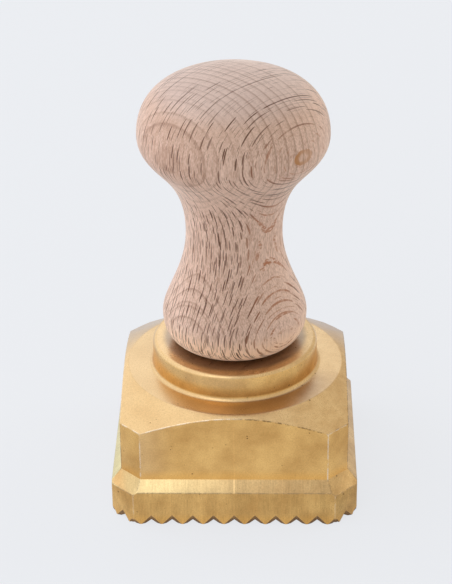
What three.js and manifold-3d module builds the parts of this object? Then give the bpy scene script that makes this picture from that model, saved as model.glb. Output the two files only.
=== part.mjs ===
// A stamp for square ravioli: a brass die with a zigzag cutting edge, on a turned beech handle.
// Millimetres, +Z up. The origin lies on the stamp's axis, level with the tips of the teeth.
import * as THREE from "three";
import { mergeVertices } from "three/addons/utils/BufferGeometryUtils.js";
import Module from "manifold-3d";

// Die, outside: a bevelled flange that carries the teeth, and a block above it.
const flangeWidth = 60;
const flangeCornerLeg = 5.45;
const blockWidth = 55.4;
const blockCornerLeg = 5;
const blockFootHeight = 11.5;
const bevelAngle = 48;

// Die, turned top: a chamfer like a nut's, a flat land and a collar that seats the handle.
const landHeight = 29.2;
const landRadius = 26.6;
const chamferAngle = 28;
const collarRadius = 20.35;
const collarHeight = 6.8;
const collarEdgeRadius = 1.1;
const collarFootWidth = 0.6;
const collarFootHeight = 0.8;

// Cutting teeth: V notches along the flats and one on each cut corner, all cut at a slant, so that
// they are deepest on the outside.
const toothPitch = 5.05;
const cornerNotchWidth = 4.7;
const toothAngle = 83;
const toothTipFlat = 0.35;
const notchSlant = 66;

// Die, underside: the blade, a groove behind it, a rim that seals the dough, and the pocket.
const bladeTipThickness = 0.5;
const bladeRootThickness = 1.7;
const grooveRoofHeight = 3.6;
const grooveWidth = 1.6;
const rimHeight = 1.5;
const rimWidth = 3.2;
const pocketRoofHeight = 18;
const pocketDraftAngle = 6;
const pocketCornerRadius = 8;
const pocketRoofRadius = 4;

// Fixing: a stud locked in the die, and a threaded insert sunk in the handle's foot.
const studRadius = 4;
const studDepthInDie = 12;
const studReachInHandle = 14;
const studChamfer = 0.8;
const countersink = 0.8;
const drillPointAngle = 118;
const insertRadius = 6.2;
const insertLength = 17;
const insertRecess = 0.5;

// Handle: the widths and heights of its stations, measured from its foot.
const handleLength = 69.9;
const knobRadius = 23;
const knobHeight = 54.9;
const waistRadius = 11.7;
const waistHeight = 29.5;
const bulbRadius = 17.7;
const bulbHeight = 7.6;
const footRadius = 8.9;

// How far each curve of the handle runs on before it turns, as a share of its stretch.
const footRun = 0.43;
const bulbTuckRun = 0.97;
const bulbShoulderRun = 0.2;
const waistFallRun = 0.475;
const waistRiseRun = 0.66;
const knobUndercutRun = 0.305;
const knobShoulderRun = 0.61;
const crownRun = 0.72;

// Clearances: between threads or a sunk piece and its hole, and under the handle's foot.
const fitClearance = 0.25;
const seatClearance = 0.1;

// How finely round shapes are divided, and how far a cutting or joining tool runs past its cut.
const turnSteps = 72;
const curveSteps = 8;
const arcSteps = 4;
const overrun = 1;

const collarTop = landHeight + collarHeight;
const threadHoleRadius = studRadius + fitClearance;

const wasm = await Module();
wasm.setup();

// A closed geometry as a solid that can be joined and cut.
function solid(geometry) {
  const bare = new THREE.BufferGeometry();
  bare.setAttribute("position", geometry.getAttribute("position"));
  bare.setIndex(geometry.getIndex());
  const merged = mergeVertices(bare);
  const corners = merged.getIndex().array;
  const kept = [];
  for (let i = 0; i < corners.length; i += 3) {
    const [a, b, c] = corners.slice(i, i + 3);
    if (a !== b && b !== c && c !== a) kept.push(a, b, c);
  }
  const vertProperties = merged.getAttribute("position").array;
  const triVerts = new Uint32Array(kept);
  return new wasm.Manifold(new wasm.Mesh({ numProp: 3, vertProperties, triVerts }));
}

// The geometry of a finished solid.
function geometryOf(made) {
  const mesh = made.getMesh();
  const geometry = new THREE.BufferGeometry();
  geometry.setAttribute("position", new THREE.BufferAttribute(mesh.vertProperties, 3));
  geometry.setIndex(new THREE.BufferAttribute(mesh.triVerts, 1));
  geometry.computeVertexNormals();
  return geometry;
}

// A body of revolution about Z, from a profile of radii and heights that runs upwards.
function turned(profile) {
  const points = profile.map(([radius, height]) => new THREE.Vector2(radius, height));
  return new THREE.LatheGeometry(points, turnSteps).rotateX(Math.PI / 2);
}

// The points of a circular arc round a centre, between two angles in degrees.
function arc(centreRadius, centreHeight, size, from, to) {
  const points = [];
  for (let i = 0; i <= arcSteps; i++) {
    const angle = THREE.MathUtils.degToRad(from + ((to - from) * i) / arcSteps);
    points.push([centreRadius + size * Math.cos(angle), centreHeight + size * Math.sin(angle)]);
  }
  return points;
}

// An upright prism on a flat outline, between two heights.
function prism(outline, bottom, top) {
  const shape = new THREE.Shape(outline);
  const options = { depth: top - bottom, bevelEnabled: false };
  return new THREE.ExtrudeGeometry(shape, options).translate(0, 0, bottom);
}

// A square outline with cut corners, drawn in by an inset that is even all round.
function cutSquare(width, cornerLeg, inset = 0) {
  const far = width / 2 - inset;
  const near = far - cornerLeg + inset * (2 - Math.SQRT2);
  const side = [new THREE.Vector2(far, -near), new THREE.Vector2(far, near)];
  const centre = new THREE.Vector2();
  const quarters = [0, 1, 2, 3].map((turn) => (turn * Math.PI) / 2);
  return quarters.flatMap((angle) => side.map((p) => p.clone().rotateAround(centre, angle)));
}

// A square outline with round corners.
function roundSquare(halfWidth, cornerRadius) {
  const centre = halfWidth - cornerRadius;
  const points = [];
  for (let turn = 0; turn < 4; turn++) {
    for (const [x, y] of arc(centre, centre, cornerRadius, 0, 90)) {
      points.push(new THREE.Vector2(x, y).rotateAround(new THREE.Vector2(), (turn * Math.PI) / 2));
    }
  }
  return points;
}

// A closed skin through level outlines of equally many points, given from the lowest up.
function loft(levels) {
  const count = levels[0].outline.length;
  const positions = levels.flatMap(({ outline, height }) => outline.flatMap((p) => [p.x, p.y, height]));
  const last = (levels.length - 1) * count;
  const faces = [];
  for (let i = 0; i < count; i++) {
    const next = (i + 1) % count;
    for (let start = 0; start < last; start += count) {
      faces.push(start + i, start + next, start + count + next);
      faces.push(start + i, start + count + next, start + count + i);
    }
    if (i > 0 && next > 0) faces.push(0, next, i, last, last + i, last + next);
  }
  const geometry = new THREE.BufferGeometry();
  geometry.setAttribute("position", new THREE.Float32BufferAttribute(positions, 3));
  return geometry.setIndex(faces);
}

// How far a cut corner's face lies from the axis.
function cornerDistance(width, cornerLeg) {
  return (width - cornerLeg) / Math.SQRT2;
}

const flangeCorner = cornerDistance(flangeWidth, flangeCornerLeg);
const blockCorner = cornerDistance(blockWidth, blockCornerLeg);

// A long bar with two upright sides that lean along the bevel to the block's foot: in to a
// narrower block, or out to a wider one.
function bevelledBar(halfWidth, footHalfWidth, turn) {
  const drop = Math.abs(halfWidth - footHalfWidth) * Math.tan(THREE.MathUtils.degToRad(bevelAngle));
  const edgeHeight = blockFootHeight - drop;
  const shape = new THREE.Shape();
  shape.moveTo(-halfWidth, 0);
  shape.lineTo(halfWidth, 0);
  shape.lineTo(halfWidth, edgeHeight);
  shape.lineTo(footHalfWidth, blockFootHeight);
  shape.lineTo(-footHalfWidth, blockFootHeight);
  shape.lineTo(-halfWidth, edgeHeight);
  const length = 2 * flangeWidth;
  const bar = new THREE.ExtrudeGeometry(shape, { depth: length, bevelEnabled: false });
  return solid(bar.translate(0, 0, -length / 2).rotateX(Math.PI / 2).rotateZ(turn));
}

// The flange: what four bevelled bars have in common, two for the flats and two for the corners.
function flange() {
  const flats = [0, Math.PI / 2].map((turn) => bevelledBar(flangeWidth / 2, blockWidth / 2, turn));
  const corners = [Math.PI / 4, -Math.PI / 4].map((turn) => bevelledBar(flangeCorner, blockCorner, turn));
  return [...flats, ...corners].reduce((common, bar) => common.intersect(bar));
}

// The block, with its top turned down to the land and chamfered all round.
function block() {
  const reach = blockWidth;
  const chamferDrop = (reach - landRadius) * Math.tan(THREE.MathUtils.degToRad(chamferAngle));
  const outline = cutSquare(blockWidth, blockCornerLeg);
  const bar = solid(prism(outline, blockFootHeight, landHeight + overrun));
  const turnedTop = turned([
    [0, -chamferDrop],
    [reach, -chamferDrop],
    [reach, landHeight - chamferDrop],
    [landRadius, landHeight],
    [0, landHeight],
  ]);
  return bar.intersect(solid(turnedTop));
}

// The collar, with a chamfer at its foot and a round top edge.
function collar() {
  const edgeCentre = collarRadius - collarEdgeRadius;
  return solid(
    turned([
      [0, landHeight - overrun],
      [collarRadius + collarFootWidth, landHeight - overrun],
      [collarRadius + collarFootWidth, landHeight],
      [collarRadius, landHeight + collarFootHeight],
      ...arc(edgeCentre, collarTop - collarEdgeRadius, collarEdgeRadius, 0, 90),
      [0, collarTop],
    ]),
  );
}

// The hollow inside the blade, up to the groove's roof, whose wall leans out to a thin edge.
function bladeHollow() {
  const lean = (bladeRootThickness - bladeTipThickness) / grooveRoofHeight;
  const level = (height, inset) => ({ height, outline: cutSquare(flangeWidth, flangeCornerLeg, inset) });
  const below = level(-overrun, bladeTipThickness - lean * overrun);
  return solid(loft([below, level(grooveRoofHeight, bladeRootThickness)]));
}

// The sealing rim, a full plate until the pocket is cut through it.
function sealingRim() {
  const outline = cutSquare(flangeWidth, flangeCornerLeg, bladeRootThickness + grooveWidth);
  return solid(prism(outline, rimHeight, grooveRoofHeight + overrun));
}

// The pocket for the filling, with drafted walls and a round where they meet the roof.
function pocket() {
  const mouth = flangeWidth / 2 - bladeRootThickness - grooveWidth - rimWidth;
  const draft = Math.tan(THREE.MathUtils.degToRad(pocketDraftAngle));
  const wallTop = pocketRoofHeight - pocketRoofRadius;
  const level = (height, inset) => ({
    height,
    outline: roundSquare(mouth - inset, pocketCornerRadius - inset),
  });
  const shoulder = (wallTop - rimHeight) * draft;
  const roofLevels = arc(shoulder + pocketRoofRadius, wallTop, pocketRoofRadius, 180, 90).map(
    ([inset, height]) => level(height, inset),
  );
  return solid(loft([level(rimHeight - overrun, 0), level(rimHeight, 0), ...roofLevels]));
}

// A V notch through a stretch of the blade whose face lies at a distance from the axis. It sinks
// from the face inwards.
function notch(distance, width, shift, turn) {
  const flank = Math.tan(THREE.MathUtils.degToRad(toothAngle / 2));
  const halfMouth = (width - toothTipFlat) / 2;
  const shape = new THREE.Shape();
  shape.moveTo(-halfMouth - overrun * flank, -overrun);
  shape.lineTo(halfMouth + overrun * flank, -overrun);
  shape.lineTo(0, halfMouth / flank);
  const inward = bladeRootThickness + grooveWidth / 2;
  const cut = new THREE.ExtrudeGeometry(shape, { depth: inward + overrun, bevelEnabled: false });
  const fall = Math.tan(THREE.MathUtils.degToRad(notchSlant));
  const slant = new THREE.Matrix4().makeShear(0, 0, 0, -fall, 0, 0);
  cut.rotateX(Math.PI / 2).translate(shift, inward, 0).applyMatrix4(slant);
  return solid(cut.translate(0, -distance, 0).rotateZ(turn));
}

// The notches of all four sides, as many along each flat as fit its length.
function allNotches() {
  const flatLength = flangeWidth - 2 * flangeCornerLeg;
  const teeth = Math.max(1, Math.round(flatLength / toothPitch));
  const cuts = [];
  for (let side = 0; side < 4; side++) {
    const turn = (side * Math.PI) / 2;
    for (let i = 0; i <= teeth; i++) {
      cuts.push(notch(flangeWidth / 2, toothPitch, (i - teeth / 2) * toothPitch, turn));
    }
    cuts.push(notch(flangeCorner, cornerNotchWidth, 0, turn + Math.PI / 4));
  }
  return cuts;
}

// The stud's blind hole, drilled from the collar's top and countersunk.
function studHole() {
  const bottom = collarTop - studDepthInDie - fitClearance;
  const pointDepth = threadHoleRadius / Math.tan(THREE.MathUtils.degToRad(drillPointAngle / 2));
  return solid(
    turned([
      [0, bottom - pointDepth],
      [threadHoleRadius, bottom],
      [threadHoleRadius, collarTop - countersink],
      [threadHoleRadius + countersink + overrun, collarTop + overrun],
      [0, collarTop + overrun],
    ]),
  );
}

function dieBody() {
  const outside = flange().add(block()).add(collar());
  const hollowed = outside.subtract(bladeHollow()).add(sealingRim()).subtract(pocket());
  const toothed = allNotches().reduce((body, cut) => body.subtract(cut), hollowed);
  return geometryOf(toothed.subtract(studHole()));
}

function handleStud() {
  const bottom = collarTop - studDepthInDie;
  const top = collarTop + studReachInHandle;
  return turned([
    [0, bottom],
    [studRadius - studChamfer, bottom],
    [studRadius, bottom + studChamfer],
    [studRadius, top - studChamfer],
    [studRadius - studChamfer, top],
    [0, top],
  ]);
}

// The insert's heights are measured from the handle's foot.
function handleInsert() {
  const top = insertRecess + insertLength;
  return turned([
    [threadHoleRadius, top],
    [threadHoleRadius, insertRecess + countersink],
    [threadHoleRadius + countersink, insertRecess],
    [insertRadius, insertRecess],
    [insertRadius, top],
    [threadHoleRadius, top],
  ]);
}

// The handle's outside, from the foot's edge up to the crown, upright at bulb, waist and knob.
function handleOutline() {
  const stations = {
    foot: new THREE.Vector2(footRadius, 0),
    bulb: new THREE.Vector2(bulbRadius, bulbHeight),
    waist: new THREE.Vector2(waistRadius, waistHeight),
    knob: new THREE.Vector2(knobRadius, knobHeight),
    crown: new THREE.Vector2(0, handleLength),
  };
  const { foot, bulb, waist, knob, crown } = stations;
  const along = (from, to, run) => new THREE.Vector2(from.x + (to.x - from.x) * run, from.y);
  const upright = (from, to, run) => new THREE.Vector2(from.x, from.y + (to.y - from.y) * run);
  const stretch = (...points) => new THREE.CubicBezierCurve(...points);
  const path = new THREE.CurvePath();
  path.add(stretch(foot, along(foot, bulb, footRun), upright(bulb, foot, bulbTuckRun), bulb));
  path.add(stretch(bulb, upright(bulb, waist, bulbShoulderRun), upright(waist, bulb, waistFallRun), waist));
  path.add(stretch(waist, upright(waist, knob, waistRiseRun), upright(knob, waist, knobUndercutRun), knob));
  path.add(stretch(knob, upright(knob, crown, knobShoulderRun), along(crown, knob, crownRun), crown));
  return path.getPoints(curveSteps).map((point) => [point.x, point.y]);
}

function handle() {
  const boreRadius = insertRadius + fitClearance;
  const boreTop = insertRecess + insertLength + fitClearance;
  return turned([[0, boreTop], [boreRadius, boreTop], [boreRadius, 0], ...handleOutline()]);
}

const brass = new THREE.MeshStandardMaterial({ color: 0xc9a05c, roughness: 0.35, metalness: 1 });
const insertBrass = new THREE.MeshStandardMaterial({ color: 0xc2a052, roughness: 0.4, metalness: 1 });
const steel = new THREE.MeshStandardMaterial({ color: 0xb9bbbd, roughness: 0.35, metalness: 1 });
const beech = new THREE.MeshStandardMaterial({ color: 0xd2b19a, roughness: 0.75, metalness: 0 });

function piece(name, geometry, material) {
  const mesh = new THREE.Mesh(geometry, material);
  mesh.name = name;
  return mesh;
}

// What unscrews from the stud, standing on the collar.
const grip = new THREE.Group();
grip.position.z = collarTop + seatClearance;
grip.add(piece("handle", handle(), beech));
grip.add(piece("handle_insert", handleInsert(), insertBrass));

const stamp = new THREE.Group();
stamp.add(piece("die_body", dieBody(), brass));
stamp.add(piece("handle_stud", handleStud(), steel));
stamp.add(grip);

export default stamp;
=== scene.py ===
import math

import bmesh
import bpy
from mathutils import Matrix, Vector
from mathutils.geometry import interpolate_bezier


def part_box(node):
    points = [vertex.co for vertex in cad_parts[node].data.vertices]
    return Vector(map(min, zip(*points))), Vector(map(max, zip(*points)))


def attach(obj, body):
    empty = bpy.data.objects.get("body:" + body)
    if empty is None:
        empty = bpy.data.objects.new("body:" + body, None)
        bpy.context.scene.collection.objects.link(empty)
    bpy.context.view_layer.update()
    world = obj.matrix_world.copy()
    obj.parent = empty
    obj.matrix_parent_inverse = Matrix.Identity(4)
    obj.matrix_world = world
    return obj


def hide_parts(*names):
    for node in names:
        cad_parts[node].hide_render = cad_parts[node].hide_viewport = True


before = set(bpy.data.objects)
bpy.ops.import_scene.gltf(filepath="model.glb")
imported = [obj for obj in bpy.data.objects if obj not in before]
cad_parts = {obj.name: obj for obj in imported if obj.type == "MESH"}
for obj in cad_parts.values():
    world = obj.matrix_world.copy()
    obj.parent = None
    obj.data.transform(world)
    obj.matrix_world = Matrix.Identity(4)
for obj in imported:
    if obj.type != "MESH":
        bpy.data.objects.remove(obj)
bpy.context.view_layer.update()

# Die: one block of brass, milled square with cut corners, its top turned down to a chamfer, a
# land and a collar, its edge filed to teeth. Its corners are worn round and bright by handling.
MM = 0.001
MERGED = 0.002 * MM
SHARP = math.radians(24)
WORN_ROUND = 0.2 * MM
TOOTH_ROUND = 0.05 * MM
TOOTH_WEAR = 0.35
TOOTH_ZONE = 4.2 * MM
COVE_ROUND = 0.4 * MM
LAND_EDGE_HEIGHT = 29 * MM

NOTCH_HEIGHT = 3
FLANGE_HEIGHT = 11.5
CORNER_TOP_HEIGHT = 24.2
LAND_HEIGHT = 29.2
LAND_RADIUS = 26.6
COLLAR_RADIUS = 20.35
BLOCK_HALF_WIDTH = 27.7
BULB_SHADE_RADIUS = 17.5
GOLD = (0.90, 0.565, 0.205, 1)
TARNISH_AND_SHADE = (0.60, 0.335, 0.108, 1)
WARM_GOLD = (0.88, 0.48, 0.125, 1)
TURNED_HIGHLIT_GOLD = (0.78, 0.54, 0.27, 1)
TURNED_HIGHLIT_BROWN = (0.66, 0.43, 0.20, 1)
HIGHLIGHT_GOLD = (0.84, 0.64, 0.40, 1)
BEVEL_HIGHLIGHT_GOLD = (0.84, 0.77, 0.42, 1)
BACK_GREY = (0.66, 0.50, 0.35, 1)
BACK_BROWN = (0.56, 0.39, 0.25, 1)
WORN_GOLD = (0.86, 0.72, 0.56, 1)
EDGE_DARK = (0.12, 0.06, 0.025, 1)
NOTCH_SHADE = (0.20, 0.105, 0.045, 1)
PIT_BROWN = (0.16, 0.085, 0.035, 1)
LAND_PAINTED_SHADE = (0.56, 0.55, 0.70)
COLLAR_PAINTED_SHADOW = (0.59, 0.63, 0.84)


class Shade:
    """An output of a node in a material. Arithmetic on it adds Math nodes to the material."""

    def __init__(self, tree, socket=None):
        self.tree = tree
        self.socket = socket

    def node(self, kind, settings=None, sockets=None, out=0):
        """Adds a node: first its settings are set, then its sockets get values or links."""
        made = self.tree.nodes.new(kind)
        for name, value in (settings or {}).items():
            setattr(made, name, value)
        for name, value in (sockets or {}).items():
            if isinstance(value, Shade):
                self.tree.links.new(value.socket, made.inputs[name])
            else:
                made.inputs[name].default_value = value
        return Shade(self.tree, made.outputs[out])

    def out(self, name):
        """Another output of the same node."""
        return Shade(self.tree, self.socket.node.outputs[name])

    def math(self, operation, *values):
        return self.node("ShaderNodeMath", {"operation": operation}, dict(enumerate(values)))

    def __add__(self, other):
        return self.math("ADD", self, other)

    def __radd__(self, other):
        return self.math("ADD", other, self)

    def __sub__(self, other):
        return self.math("SUBTRACT", self, other)

    def __rsub__(self, other):
        return self.math("SUBTRACT", other, self)

    def __mul__(self, other):
        return self.math("MULTIPLY", self, other)

    def __rmul__(self, other):
        return self.math("MULTIPLY", other, self)

    def __truediv__(self, other):
        return self.math("DIVIDE", self, other)

    def __abs__(self):
        return self.math("ABSOLUTE", self)

    def rise(self, low, high):
        """0 below low, 1 above high and a smooth step between. It falls if low is the larger."""
        values = {"Value": self, "From Min": low, "From Max": high}
        return self.node("ShaderNodeMapRange", {"interpolation_type": "SMOOTHSTEP"}, values)

    def mix(self, first, second):
        """A colour between two others, with this value as the share of the second."""
        colours = {0: self, 6: first, 7: second}
        return self.node("ShaderNodeMix", {"data_type": "RGBA"}, colours, out=2)

    def vector_math(self, operation, *values, out=0):
        settings = {"operation": operation}
        return self.node("ShaderNodeVectorMath", settings, dict(enumerate(values)), out)

    def stretched(self, x, y, z):
        return self.vector_math("MULTIPLY", self, (x, y, z))

    def length(self):
        return self.vector_math("LENGTH", self, out="Value")

    def along(self, direction):
        """How far a place lies along a direction."""
        return self.vector_math("DOT_PRODUCT", self, direction, out="Value")

    def parts(self):
        split = self.node("ShaderNodeSeparateXYZ", sockets={0: self})
        return split, split.out("Y"), split.out("Z")

    def noise(self, scale, detail=2.0, roughness=0.5):
        values = {"Vector": self, "Scale": scale, "Detail": detail, "Roughness": roughness}
        return self.node("ShaderNodeTexNoise", sockets=values)

    def bump(self, distance, strength=1.0):
        values = {"Height": self, "Distance": distance, "Strength": strength}
        return self.node("ShaderNodeBump", sockets=values)


def new_material(name):
    """A material, its shader, and a place on its piece in millimetres to paint by."""
    material = bpy.data.materials.new(name)
    material.use_nodes = True
    shader = material.node_tree.nodes["Principled BSDF"]
    place = Shade(material.node_tree).node("ShaderNodeTexCoord", out="Object")
    return material, shader, place.vector_math("MULTIPLY", place, (1 / MM, 1 / MM, 1 / MM))


def feed(shader, **sockets):
    """Links shades, or sets plain values, on a shader's sockets."""
    for name, value in sockets.items():
        socket = shader.inputs[name.replace("_", " ")]
        if isinstance(value, Shade):
            value.tree.links.new(value.socket, socket)
        else:
            socket.default_value = value


def new_piece(name, mesh, material, body):
    mesh.materials.clear()
    mesh.materials.append(material)
    piece = bpy.data.objects.new(name, mesh)
    bpy.context.scene.collection.objects.link(piece)
    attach(piece, body)
    return piece


def shaded_mesh(bm, name, sharp):
    """The finished mesh, smooth all over except at edges sharper than an angle."""
    bm.normal_update()
    for face in bm.faces:
        face.smooth = True
    for edge in bm.edges:
        edge.smooth = edge.calc_face_angle(0) < sharp
    mesh = bpy.data.meshes.new(name)
    bm.to_mesh(mesh)
    bm.free()
    return mesh


def die_mesh():
    bm = bmesh.new()
    bm.from_mesh(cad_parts["die_body"].data)
    bmesh.ops.remove_doubles(bm, verts=bm.verts, dist=MERGED)
    bmesh.ops.dissolve_limit(bm, angle_limit=math.radians(0.6), verts=bm.verts, edges=bm.edges)
    inner = []
    for edge in bm.edges:
        at_foot = all(LAND_EDGE_HEIGHT < v.co.z < LAND_EDGE_HEIGHT + 2 * MM for v in edge.verts)
        if at_foot and edge.calc_face_angle_signed(0) < -SHARP:
            inner.append(edge)
    bmesh.ops.bevel(
        bm, geom=inner, offset=COVE_ROUND, offset_type="OFFSET", segments=3, profile=0.5,
        affect="EDGES", clamp_overlap=True, material=-1,
    )
    worn = bm.faces.layers.float.new("worn")
    for on_teeth, size, wear in ((False, WORN_ROUND, 1.0), (True, TOOTH_ROUND, TOOTH_WEAR)):
        edges = []
        for edge in bm.edges:
            low = max(v.co.z for v in edge.verts) < TOOTH_ZONE
            if low == on_teeth and edge.calc_face_angle_signed(0) > SHARP:
                edges.append(edge)
        rounded = bmesh.ops.bevel(
            bm, geom=edges, offset=size, offset_type="OFFSET", segments=2, profile=0.5,
            affect="EDGES", clamp_overlap=True, material=-1,
        )
        for face in rounded["faces"]:
            blunt = face.calc_center_median().z > LAND_EDGE_HEIGHT
            face[worn] = 0 if blunt else wear
    return shaded_mesh(bm, "die", SHARP)


def die_brass():
    material, shader, place = new_material("satin_brass")
    x, y, z = place.parts()
    radius = place.stretched(1, 1, 0).length()
    normal = place.node("ShaderNodeTexCoord", out="Normal")
    across, backward, upward = normal.parts()
    worn = place.node("ShaderNodeAttribute", {"attribute_name": "worn"}, out="Fac")

    # Upward faces, most of them turned on the lathe, are paler than the milled sides, which are deeper
    # in colour: partly their finish, partly a painted highlight. Both are softly clouded with tarnish.
    # The upward faces are also painted browner in patches towards the right, a painted shade.
    filed = z.rise(FLANGE_HEIGHT + 0.1, FLANGE_HEIGHT - 0.1)
    turned_and_highlit = upward.rise(0.25, 0.5) * (1 - filed * 0.3)
    cloud = place.noise(0.13, 2, 0.5).rise(0.3, 0.7)
    mottle = place.noise(0.42, 4, 0.6).rise(0.25, 0.75)
    grain = place.noise(2.6, 4, 0.7)
    clouded = cloud * 0.6 + mottle * 0.25 + 0.08
    milled_gold = clouded.mix(GOLD, TARNISH_AND_SHADE)
    tarnish_and_right_shade = clouded * 0.7 + x.rise(0, 20) * (mottle * 0.7 - 0.2)
    turned_highlit_gold = tarnish_and_right_shade.mix(TURNED_HIGHLIT_GOLD, TURNED_HIGHLIT_BROWN)
    colour = turned_and_highlit.mix(milled_gold, turned_highlit_gold)
    collar = z.rise(LAND_HEIGHT + 2.5, LAND_HEIGHT + 4.5) * x.rise(9, -4)
    # Painted highlight: flat tops, the left of the collar's wall and the left of the front above the
    # flange are painted paler.
    painted_highlight = upward.rise(0.97, 0.99) * 0.27 + collar * upward.rise(0.5, 0.2) * 0.2
    painted_highlight = painted_highlight + x.rise(-13, -24) * backward.rise(-0.9, -0.97) * (1 - filed) * 0.28
    colour = painted_highlight.mix(colour, HIGHLIGHT_GOLD)

    # The foot of the block and the tips of the teeth are warmer, the chamfer's back is greyer.
    foot = z.rise(FLANGE_HEIGHT + 3, FLANGE_HEIGHT + 0.3) * z.rise(FLANGE_HEIGHT - 0.3, FLANGE_HEIGHT)
    tips = z.rise(3.5, 0.5)
    colour = ((foot + tips) * (1 - turned_and_highlit) * 0.6).mix(colour, WARM_GOLD)
    chamfer = upward.rise(0.97, 0.93) * upward.rise(0.5, 0.7) * (1 - filed)
    back = x.rise(-16, 12).mix(BACK_GREY, BACK_BROWN)
    colour = (chamfer * backward.rise(0.05, 0.4)).mix(colour, back)

    # Painted shade: the front of the land is painted darker and browner under the collar, and the
    # collar's top is painted darker under the bulb.
    on_land = z.rise(LAND_HEIGHT + 0.3, LAND_HEIGHT + 0.05) * radius.rise(LAND_RADIUS + 0.2, LAND_RADIUS)
    in_front = (y / radius).rise(-0.1, -0.75) * radius.rise(LAND_RADIUS + 6, COLLAR_RADIUS)
    in_front = in_front * x.rise(-20, -3)
    near = radius.rise(COLLAR_RADIUS + 3.5, COLLAR_RADIUS + 0.6) * x.rise(9, -2)
    painted_dark = colour.vector_math("MULTIPLY", colour, LAND_PAINTED_SHADE)
    colour = (on_land * in_front * (1 - near * 0.65)).mix(colour, painted_dark)
    on_top = z.rise(LAND_HEIGHT + 5, LAND_HEIGHT + 6)
    under_bulb = on_top * radius.rise(BULB_SHADE_RADIUS + 1, BULB_SHADE_RADIUS - 1)
    painted_dark = colour.vector_math("MULTIPLY", colour, COLLAR_PAINTED_SHADOW)
    colour = under_bulb.mix(colour, painted_dark)

    # Small dark pits, of uneven size and spacing.
    cells = place.node("ShaderNodeTexVoronoi", sockets={"Vector": place, "Scale": 0.6})
    chance = cells.out("Color").along((1, 0, 0))
    size = chance * chance * chance * 0.17
    pit = (cells / (size + 0.001)).rise(1.1, 0.5)
    colour = (pit * 0.7).mix(colour, PIT_BROWN)

    # Streaks of the file, across the bevel of the flange and down its sides.
    side = abs(across).rise(0.5, 0.6)
    along_edge = x * (1 - side) + y * side
    edge_place = place.node("ShaderNodeCombineXYZ", sockets={0: along_edge, 1: z * 0.12})
    streak = edge_place.noise(2.6, 3, 0.6)
    wave = edge_place.noise(0.3, 2, 0.5)
    bevel = filed * upward.rise(0.2, 0.4)
    upright = upward.rise(0.3, 0.1)
    light = (grain - 0.5) * 0.65 + (streak - 0.5) * filed * 0.4 + (wave - 0.5) * filed * 0.4 + 1
    # Painted shade: the flange's upright sides, and its bevel away from the sides, are darkened.
    light = light - (filed - bevel) * 0.13 - bevel * (1 - side) * 0.1

    # Painted highlight: the bevel is painted pale on the left, and round to the front. Painted shade:
    # the right side is dull, the left cut corner is darkened with the tarnish colour, and faces turned
    # to the right, the upright faces turned left above the flange, and the left of the land and of the
    # collar's wall are darkened. The right cut corner and the right of the land are lightened.
    bevel_highlight = across.rise(-0.62, -0.72) * 0.8 + x.rise(14, -25) * (1 - side) * 0.35
    colour = (bevel * bevel_highlight).mix(colour, BEVEL_HIGHLIGHT_GOLD)
    cut_corner = bevel * abs(across).rise(0.4, 0.5) * abs(across).rise(0.66, 0.6)
    colour = (cut_corner * x.rise(0, -10) * 0.2).mix(colour, TARNISH_AND_SHADE)
    light = light + cut_corner * x.rise(0, 10) * 0.06
    light = light - x.rise(0, 24) * (1 - side) * (upright * 0.07 + bevel * 0.08)
    light = light - bevel * across.rise(0.62, 0.72) * 0.12
    light = light - upright * across.rise(0.5, 0.65) * (filed * 0.12 + 0.08)
    light = light - upright * (1 - filed) * across.rise(-0.5, -0.65) * 0.07
    light = light - on_land * (x.rise(8, -18) * 0.07 - x.rise(6, 18) * 0.07) - collar * upright * 0.05

    # A line scribed down the middle of the front, bright on the bevel.
    scribed = abs(x).rise(0.35, 0.1) * backward.rise(-0.4, -0.6)
    scribed = scribed * z.rise(CORNER_TOP_HEIGHT + 3, CORNER_TOP_HEIGHT)
    light = light + scribed * (bevel * 0.25 + 0.06)

    # Corners are worn pale. The right half of the arched edge is painted dark, a painted shade, and the
    # outermost edges of the block and the bevel's lower edge are darkened. The notches between the teeth
    # are brown.
    arched = z.rise(CORNER_TOP_HEIGHT, CORNER_TOP_HEIGHT + 0.4)
    flange = z.rise(FLANGE_HEIGHT, FLANGE_HEIGHT - 0.5)
    outermost = abs(x).rise(BLOCK_HALF_WIDTH - 0.7, BLOCK_HALF_WIDTH - 0.3)
    outer = outermost * (1 - flange) * (1 - arched)
    lower = flange * upward.rise(0.1, 0.2)
    undarkened = 1 - arched * x.rise(-2, 5) - outer - lower * 0.4
    uneven = place.noise(0.7, 4, 0.7)
    wear = worn * undarkened * (1 - flange * 0.55 - lower * 0.2) * uneven.rise(0.35, 0.6)
    darkened_edges = worn * (1 - undarkened) * uneven.rise(0.4, 0.56)
    # Painted shade: the downward faces in the notches are painted dark brown and made barely metallic.
    notch = z.rise(NOTCH_HEIGHT + 0.2, NOTCH_HEIGHT) * upward.rise(-0.2, -0.4) * upward.rise(-0.95, -0.8)
    colour = (wear * 0.65).mix(colour, WORN_GOLD)
    colour = (darkened_edges * 0.7).mix(colour, EDGE_DARK)
    colour = (notch * 0.85).mix(colour, NOTCH_SHADE)
    colour = place.node("ShaderNodeVectorMath", {"operation": "SCALE"}, {0: colour, "Scale": light})

    # Rings left by the lathe, and the fine grain of the skin.
    ring_place = place.node("ShaderNodeCombineXYZ", sockets={0: radius, 1: z})
    rings = ring_place.noise(7, 2, 0.6) * turned_and_highlit
    height = grain * 0.5 + rings * 0.6 + streak * filed * 0.5 - pit * 1.5
    roughness = clouded * 0.06 + (grain - 0.5) * 0.1 + pit * 0.3 - wear * 0.05 + notch * 0.4 + 0.27
    skin = height.bump(0.02 * MM, 0.5)
    feed(shader, Base_Color=colour, Metallic=1 - notch * 0.9, Roughness=roughness, Normal=skin)
    return material


die = new_piece("die", die_mesh(), die_brass(), "die")
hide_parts("die_body")

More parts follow.
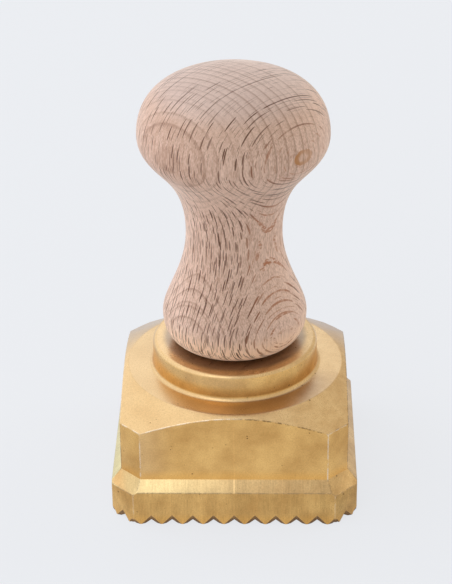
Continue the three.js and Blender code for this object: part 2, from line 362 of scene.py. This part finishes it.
# Stud: a length of M8 threaded steel rod, rolled, with chamfered ends, locked in the die's hole.
# The handle screws down on it.
PITCH = 1.25 * MM
THREAD_DEPTH = 0.61 * PITCH
THREAD_STEPS = 36
STEEL = (0.56, 0.57, 0.58, 1)
STEEL_DARK = (0.3, 0.3, 0.31, 1)


def stud_mesh():
    low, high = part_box("handle_stud")
    radius = high.x
    root = radius - THREAD_DEPTH
    bm = bmesh.new()
    start = low.z - 2 * PITCH
    crest = ((root, 0), (root, 0.14), (radius, 0.45), (radius, 0.57), (root, 0.88), (root, 1))
    profile = [bm.verts.new((r, 0, start + share * PITCH)) for r, share in crest]
    edges = [bm.edges.new(pair) for pair in zip(profile, profile[1:])]
    turns = math.ceil((high.z - low.z) / PITCH) + 4
    bmesh.ops.spin(
        bm, geom=profile + edges, axis=(0, 0, 1), cent=(0, 0, 0), dvec=(0, 0, PITCH / THREAD_STEPS),
        angle=2 * math.pi * turns, steps=turns * THREAD_STEPS,
    )
    bmesh.ops.remove_doubles(bm, verts=bm.verts, dist=MERGED)
    for height, up in ((low.z, -1), (high.z, 1)):
        cut = bmesh.ops.bisect_plane(
            bm, geom=bm.verts[:] + bm.edges[:] + bm.faces[:], plane_co=(0, 0, height),
            plane_no=(0, 0, up), clear_outer=True,
        )
        rim = [item for item in cut["geom_cut"] if isinstance(item, bmesh.types.BMEdge)]
        bmesh.ops.edgeloop_fill(bm, edges=rim)
    for vert in bm.verts:
        from_end = min(vert.co.z - low.z, high.z - vert.co.z)
        allowed = root - 0.05 * MM + from_end
        reach = math.hypot(vert.co.x, vert.co.y)
        if reach > allowed:
            vert.co.x *= allowed / reach
            vert.co.y *= allowed / reach
    bmesh.ops.recalc_face_normals(bm, faces=bm.faces)
    return shaded_mesh(bm, "stud", SHARP)


def stud_steel():
    material, shader, place = new_material("rolled_steel")
    cloud = place.noise(0.4, 3).rise(0.35, 0.7)
    grain = place.noise(6, 2)
    colour = (cloud * 0.5).mix(STEEL, STEEL_DARK)
    roughness = cloud * 0.12 + (grain - 0.5) * 0.1 + 0.28
    feed(shader, Base_Color=colour, Metallic=1.0, Roughness=roughness, Normal=grain.bump(0.01 * MM, 0.4))
    return material


stud = new_piece("stud", stud_mesh(), stud_steel(), "die")
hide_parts("handle_stud")

# Insert: a turned and threaded brass sleeve, pressed into the handle's foot. The solid is right
# as it is, so it keeps its shape and gets its finish here.
INSERT_GOLD = (0.66, 0.46, 0.18, 1)
INSERT_BROWN = (0.42, 0.27, 0.1, 1)


def insert_brass():
    material, shader, place = new_material("turned_brass")
    up = place.along((0, 0, 1))
    ring_place = place.node("ShaderNodeCombineXYZ", sockets={2: up})
    rings = ring_place.noise(5, 3, 0.6)
    cloud = place.noise(0.5, 3).rise(0.4, 0.7)
    colour = (cloud * 0.6).mix(INSERT_GOLD, INSERT_BROWN)
    roughness = rings * 0.15 + 0.22
    feed(shader, Base_Color=colour, Metallic=1.0, Roughness=roughness, Normal=rings.bump(0.02 * MM, 0.5))
    return material


insert_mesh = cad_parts["handle_insert"].data
insert_mesh.materials.clear()
insert_mesh.materials.append(insert_brass())

# Handle: a knob on a waist and a bulb, turned from one length of raw beech and sanded. Its year
# rings stand across the view to the front left, and dark rays cross them.
TURN_STEPS = 144
CURVE_STEPS = 26
FOOT = Vector((8.9, 0)) * MM
BULB = Vector((17.7, 7.6)) * MM
WAIST = Vector((11.7, 29.5)) * MM
KNOB = Vector((23, 54.9)) * MM
CROWN = Vector((0, 69.9)) * MM
FOOT_RUN, BULB_TUCK_RUN = 0.43, 0.97
BULB_SHOULDER_RUN, WAIST_FALL_RUN = 0.2, 0.475
WAIST_RISE_RUN, KNOB_UNDERCUT_RUN = 0.66, 0.305
KNOB_SHOULDER_RUN, CROWN_RUN = 0.61, 0.72
BORE_RADIUS = 6.45 * MM
BORE_DEPTH = 17.75 * MM

HEART = (-72.2, -83, 0)
HEART_DISTANCE = 110
RINGS = (
    (-22.75, 0.5, 0), (-20.2, 0.75, 0), (-18.25, 0.6, 0), (-17, 0.15, 0), (-16.55, 0, 0.9),
    (-15.5, 0, 0.65), (-15.1, 0.45, 0.65), (-13.9, 0.3, 0.9), (-12.75, 0, 0.8), (-11.95, 0.5, 0),
    (-11.4, 0, 0.4),
    (-10.5, 0.5, 0.4), (-8.65, 0.65, 0.2), (-6.55, 0.95, 0.1), (-5.3, 0.3, 0.5), (-4.2, 0, 0.35),
    (-3.55, 0.85, 0.2), (-1.25, 0.9, 0.3), (1.15, 0.9, 0.3), (2.95, 0.6, 0.2), (4.75, 0.4, 0.2),
    (6.75, 0.85, 0.3), (8.4, 0.25, 0.2), (11, 0.3, 0.3), (14.5, 0.8, 0.4), (16.3, 0.5, 0.3),
    (18.1, 0.8, 0.4), (20.4, 0.6, 0), (22.3, 0.9, 0),
)
RAY_RUN = (0.701, 0.713, 0)
RAY_NORMAL = (0.713, -0.701, 0)
KNOB_FOOT_HEIGHT = 76
BULB_FOOT_HEIGHT = 45
EYE_HEIGHT = 92
EYE_HALF_WIDTH, EYE_HALF_HEIGHT = 3, 1.8
WOOD_PALE = (0.87, 0.625, 0.495, 1)
WOOD_PINK = (0.525, 0.317, 0.225, 1)
WOOD_LATE = (0.22, 0.09, 0.04, 1)
END_GREY_AND_SHEEN = (0.74, 0.63, 0.60, 1)
RAY_BROWN = (0.09, 0.024, 0.006, 1)
FLAKE_RED = (0.46, 0.19, 0.095, 1)
EYE_BROWN = (0.50, 0.23, 0.09, 1)
FOOT_BOUNCE_LIGHT = (1.0, 0.67, 0.45, 1)
SHEEN_WARM = (1.0, 0.92, 0.84, 1)


def handle_mesh():
    def along(start, end, run):
        return Vector((start.x + (end.x - start.x) * run, start.y))

    def upright(start, end, run):
        return Vector((start.x, start.y + (end.y - start.y) * run))

    stretches = (
        (FOOT, along(FOOT, BULB, FOOT_RUN), upright(BULB, FOOT, BULB_TUCK_RUN), BULB),
        (BULB, upright(BULB, WAIST, BULB_SHOULDER_RUN), upright(WAIST, BULB, WAIST_FALL_RUN), WAIST),
        (WAIST, upright(WAIST, KNOB, WAIST_RISE_RUN), upright(KNOB, WAIST, KNOB_UNDERCUT_RUN), KNOB),
        (KNOB, upright(KNOB, CROWN, KNOB_SHOULDER_RUN), along(CROWN, KNOB, CROWN_RUN), CROWN),
    )
    outline = [(0, BORE_DEPTH), (BORE_RADIUS, BORE_DEPTH), (BORE_RADIUS, 0)]
    for stretch in stretches:
        curve = interpolate_bezier(*(p.to_3d() for p in stretch), CURVE_STEPS)
        outline += [(p.x, p.y) for p in curve]
    foot_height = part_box("handle")[0].z
    bm = bmesh.new()
    verts = [bm.verts.new((r, 0, foot_height + h)) for r, h in outline]
    edges = [bm.edges.new(pair) for pair in zip(verts, verts[1:])]
    bmesh.ops.spin(
        bm, geom=verts + edges, axis=(0, 0, 1), cent=(0, 0, 0), angle=2 * math.pi,
        steps=TURN_STEPS, use_merge=True,
    )
    bmesh.ops.remove_doubles(bm, verts=bm.verts, dist=MERGED)
    bmesh.ops.recalc_face_normals(bm, faces=bm.faces)
    return shaded_mesh(bm, "handle", math.radians(50))


def rays(place, width, height, half_width, half_height, depth, density):
    """Lenses that stand in the grain: thin across it, tall along it, and sheets in depth."""
    across = place.along(RAY_NORMAL) + place.noise(0.05, 1) * 1.2
    up = place.along((0, 0, 1))
    grid = place.node("ShaderNodeCombineXYZ", sockets={0: across / width, 1: up / height})
    settings = {"voronoi_dimensions": "2D", "feature": "F1"}
    values = {"Vector": grid, "Scale": 1.0, "Randomness": 0.8}
    cell = grid.node("ShaderNodeTexVoronoi", settings, values)
    off = grid.vector_math("SUBTRACT", grid, cell.out("Position"))
    off_x, off_y = off.along((1, 0, 0)), off.along((0, 1, 0))
    chance, other, third = cell.out("Color").parts()
    length = (other * 0.6 + 0.6) * (half_height / height)
    taper = 1 - (off_y / length) * (off_y / length)
    taper = taper.math("SQRT", taper.math("MAXIMUM", taper, 0.0001))
    thick = (half_width / width) * (third * 0.6 + 0.7) * taper
    lens = (abs(off_x) / thick).rise(1.15, 0.65)
    inward = place.along(RAY_RUN) / depth
    sheet_place = place.node("ShaderNodeCombineXYZ", sockets={0: inward, 1: chance * 60, 2: other * 60})
    sheet = sheet_place.noise(1.0, 1) + density
    return lens * sheet.rise(0.47, 0.55) * (chance * 0.4 + 0.6)


def raw_beech():
    material, shader, place = new_material("raw_beech")
    normal = place.node("ShaderNodeTexCoord", out="Normal")
    upward = normal.along((0, 0, 1))
    up = place.along((0, 0, 1))

    # Year rings round a heart well outside the piece, a little wavy. Each darkens slowly outwards
    # and ends sharply. They differ on the knob and below it, where they are thinner.
    from_heart = place.vector_math("SUBTRACT", place, HEART).stretched(1, 1, 0).length()
    wavy = place.stretched(1, 1, 0.3).noise(0.25, 3, 0.6) * 0.4 - 0.2
    offset = from_heart + wavy - HEART_DISTANCE
    below = up.rise(KNOB_FOOT_HEIGHT + 6, KNOB_FOOT_HEIGHT - 8)
    crisp = below * 1.5 + 1
    ring = 0
    for end, on_knob, below_knob in RINGS:
        past = (offset - end) * crisp
        growth = past.rise(-0.5, -0.05) * 0.7 + past.rise(-1.7, 0) * 0.3
        ring = ring + growth * past.rise(0.3, 0) * (below * (below_knob - on_knob) + on_knob)

    # Fibres along the grain, fine and coarse, and slow changes of tone. They show less on the side that
    # faces the heart, and on the top, where their cut ends show. The top is painted paler and greyer:
    # partly the end grain's own colour, partly a painted sheen.
    fibre = place.stretched(1, 1, 0.17).noise(4.5, 2, 0.6).rise(0.3, 0.7)
    strand = place.stretched(1, 1, 0.12).noise(1.1, 3, 0.6)
    cloud = place.stretched(1, 1, 0.35).noise(0.09, 2)
    smooth = abs(upward).rise(0.2, 0.7) * 0.45 + normal.along(RAY_RUN).rise(-0.3, -0.8) * 0.3
    tone = (fibre - 0.5) * (1 - smooth) * 0.62 + (strand - 0.5) * 0.6 + (cloud - 0.5) * 0.5 + 0.45
    tone = tone + offset.rise(-17.5, -20.5) * 0.15
    colour = tone.rise(0.0, 1.0).mix(WOOD_PALE, WOOD_PINK)
    # Painted light: the bulb's foot is painted brighter and more orange, for light thrown up from the
    # brass.
    colour = (up.rise(BULB_FOOT_HEIGHT + 1, BULB_FOOT_HEIGHT - 5) * 0.8).mix(colour, FOOT_BOUNCE_LIGHT)
    # Partly the end grain's colour, partly a painted sheen: the top is paler and greyer.
    colour = (upward.rise(0.62, 1.0) * 0.45).mix(colour, END_GREY_AND_SHEEN)
    colour = (ring * 0.45).mix(colour, WOOD_LATE)

    # Rays: dark lenses where they are cut across, broken red flakes where they are cut along. They
    # stand closer below the knob.
    facing = abs(normal.along(RAY_NORMAL))
    flat_on = facing.rise(0.72, 0.95)
    whole = 1 - facing.rise(0.85, 0.99) * place.stretched(1, 1, 2.5).noise(0.8, 2).rise(0.45, 0.58)
    at_foot = up.rise(BULB_FOOT_HEIGHT + 2, BULB_FOOT_HEIGHT - 3)
    crowding = below * 0.25 + up.rise(KNOB_FOOT_HEIGHT + 22, KNOB_FOOT_HEIGHT + 14) * 0.13 - 0.15
    bold = rays(place, 2.3, 4.4, 0.14, 2, 9, 0.12)
    close_place = place.vector_math("ADD", place, (3, 8, 2))
    close = rays(close_place, 1.2, 3.4, 0.11, 1.7, 9, crowding)
    small_place = place.vector_math("ADD", place, (7, 3, 5))
    small = rays(small_place, 0.7, 2.2, 0.07, 0.9, 7, at_foot * 0.2 + 0.04)
    ray_colour = flat_on.mix(RAY_BROWN, FLAKE_RED)
    colour = (bold * whole * 0.95).mix(colour, ray_colour)
    colour = (close * whole * 0.95).mix(colour, ray_colour)
    colour = (small * whole * (at_foot * 0.2 + 0.55)).mix(colour, ray_colour)

    # One large ray lies flat in the skin of the knob, and shows as an eye with a dark left rim.
    run = place.along(RAY_RUN)
    eye_place = place.node("ShaderNodeCombineXYZ", sockets={0: run / EYE_HALF_WIDTH, 1: up - EYE_HEIGHT})
    eye_place = eye_place.stretched(1, 1 / EYE_HALF_HEIGHT, 1)
    from_eye = eye_place.length() + (strand - 0.5) * 0.4
    rim = from_eye.rise(1.05, 0.95) * from_eye.rise(0.3, 0.75)
    eye = rim * (run.rise(1, -2) * 0.45 + 0.3) + from_eye.rise(1.05, 0.95) * 0.2
    colour = (eye * place.along(RAY_NORMAL).rise(20, 20.5)).mix(colour, EYE_BROWN)

    height = fibre * 0.2 - bold * whole - close * whole
    roughness = 0.5 + fibre * 0.12
    feed(shader, Base_Color=colour, Roughness=roughness, Normal=height.bump(0.03 * MM, 0.35))
    shader.inputs["Specular IOR Level"].default_value = 0.15
    shader.inputs["Sheen Weight"].default_value = 0.36
    shader.inputs["Sheen Roughness"].default_value = 0.4
    shader.inputs["Sheen Tint"].default_value = SHEEN_WARM
    return material


handle = new_piece("handle", handle_mesh(), raw_beech(), "handle")
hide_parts("handle")

# Floor and light: a pale table in a white tent, with a large soft light on the left and a
# weaker one on the right. The table and the tent look the same to the eye and in the brass.
TABLE_PALE = (0.838, 0.855, 0.887, 1)
TABLE_SIZE = 6.0
SHOWN_EVENLY = 0.87
TENT_LIGHT = 0.62
TENT_RIGHT = (0.80, 0.76, 0.68, 1)


def seen(shade):
    """1 where the eye, a reflection or a pane looks, and 0 for light on its way."""
    path = shade.node("ShaderNodeLightPath", out="Is Camera Ray")
    either = path.math("MAXIMUM", path, path.out("Is Glossy Ray"))
    return either.math("MAXIMUM", either, path.out("Is Transmission Ray"))


def table():
    bm = bmesh.new()
    bmesh.ops.create_grid(bm, x_segments=1, y_segments=1, size=TABLE_SIZE / 2)
    mesh = bpy.data.meshes.new("table")
    bm.to_mesh(mesh)
    bm.free()
    material, shader, place = new_material("table_paper")
    feed(shader, Base_Color=TABLE_PALE, Roughness=0.9)
    shader.inputs["Specular IOR Level"].default_value = 0.0
    glow = place.node("ShaderNodeEmission", sockets={"Color": TABLE_PALE, "Strength": 1.0})
    lit = Shade(place.tree, shader.outputs[0])
    both = place.node("ShaderNodeMixShader", sockets={0: seen(place) * SHOWN_EVENLY, 1: lit, 2: glow})
    output = place.tree.nodes["Material Output"]
    place.tree.links.new(both.socket, output.inputs["Surface"])
    mesh.materials.append(material)
    floor = bpy.data.objects.new("table", mesh)
    bpy.context.scene.collection.objects.link(floor)


def tent():
    world = bpy.data.worlds.new("tent")
    bpy.context.scene.world = world
    world.use_nodes = True
    tree = world.node_tree
    background = tree.nodes["Background"]
    start = Shade(tree)
    shown = seen(start)
    strength = shown * (1 - TENT_LIGHT) + TENT_LIGHT
    towards = start.node("ShaderNodeTexCoord", out="Generated")
    colour = towards.along((1, 0, 0)).rise(0.0, 0.5).mix(TABLE_PALE, TENT_RIGHT)
    tree.links.new(colour.socket, background.inputs["Color"])
    tree.links.new(strength.socket, background.inputs["Strength"])


def soft_light(name, place, target, width, height, brightness, mirrored=True, tint=(1, 1, 1)):
    """A sheet of light, as bright as white paper at a brightness of 1, which brass may mirror."""
    light = bpy.data.lights.new(name, "AREA")
    light.color = tint
    light.shape = "RECTANGLE"
    light.size = width
    light.size_y = height
    light.energy = brightness * math.pi * width * height
    lamp = bpy.data.objects.new(name, light)
    bpy.context.scene.collection.objects.link(lamp)
    towards = Vector(target) - Vector(place)
    turn = towards.to_track_quat("-Z", "Y").to_matrix().to_4x4()
    lamp.matrix_world = Matrix.Translation(place) @ turn
    lamp.visible_camera = False
    lamp.visible_glossy = mirrored


table()
tent()
soft_light("left_light", (-0.5, 0.35, 0.6), (0.25, 0.25, -0.05), 3.1, 1.43, 0.39)
soft_light(
    "left_fill", (-0.7, 0.2, 0.27), (0, 0, 0.06), 0.8, 0.5, 2.05, mirrored=False, tint=(0.94, 1, 1.12)
)
soft_light("right_fill", (0.75, 0.45, 0.25), (0, 0, 0.06), 0.8, 0.5, 2.45, mirrored=False)
soft_light("front_light", (-0.14, -0.28, 0.34), (0, 0, 0.01), 0.22, 0.25, 0.68)
soft_light("back_light", (0.06, 0.97, 0.56), (0, 0, 0.03), 0.6, 0.45, 0.12)

# Camera: in front of the stamp and looking down on it, as in the photograph.
PHOTO_WIDTH, PHOTO_HEIGHT = 452, 584
FOCAL_PIXELS = 2165.8
CENTRE_X, CENTRE_Y = 234.57, 284.0
AZIMUTH = math.radians(1.02)
ELEVATION = math.radians(28.14)
ROLL = math.radians(-0.447)
DISTANCE = 0.5309
LOOKS_AT = (0, 0, 0.050403)

lens = bpy.data.cameras.new("photo_camera")
lens.lens = FOCAL_PIXELS * lens.sensor_width / PHOTO_HEIGHT
lens.shift_x = (PHOTO_WIDTH / 2 - CENTRE_X) / PHOTO_HEIGHT
lens.shift_y = (CENTRE_Y - PHOTO_HEIGHT / 2) / PHOTO_HEIGHT
lens.clip_start = 0.01
camera = bpy.data.objects.new("photo_camera", lens)
bpy.context.scene.collection.objects.link(camera)
camera.matrix_world = (
    Matrix.Translation(LOOKS_AT)
    @ Matrix.Rotation(AZIMUTH, 4, "Z")
    @ Matrix.Rotation(math.pi / 2 - ELEVATION, 4, "X")
    @ Matrix.Rotation(ROLL, 4, "Z")
    @ Matrix.Translation((0, 0, DISTANCE))
)
bpy.context.scene.camera = camera
bpy.context.scene.view_settings.view_transform = "Standard"
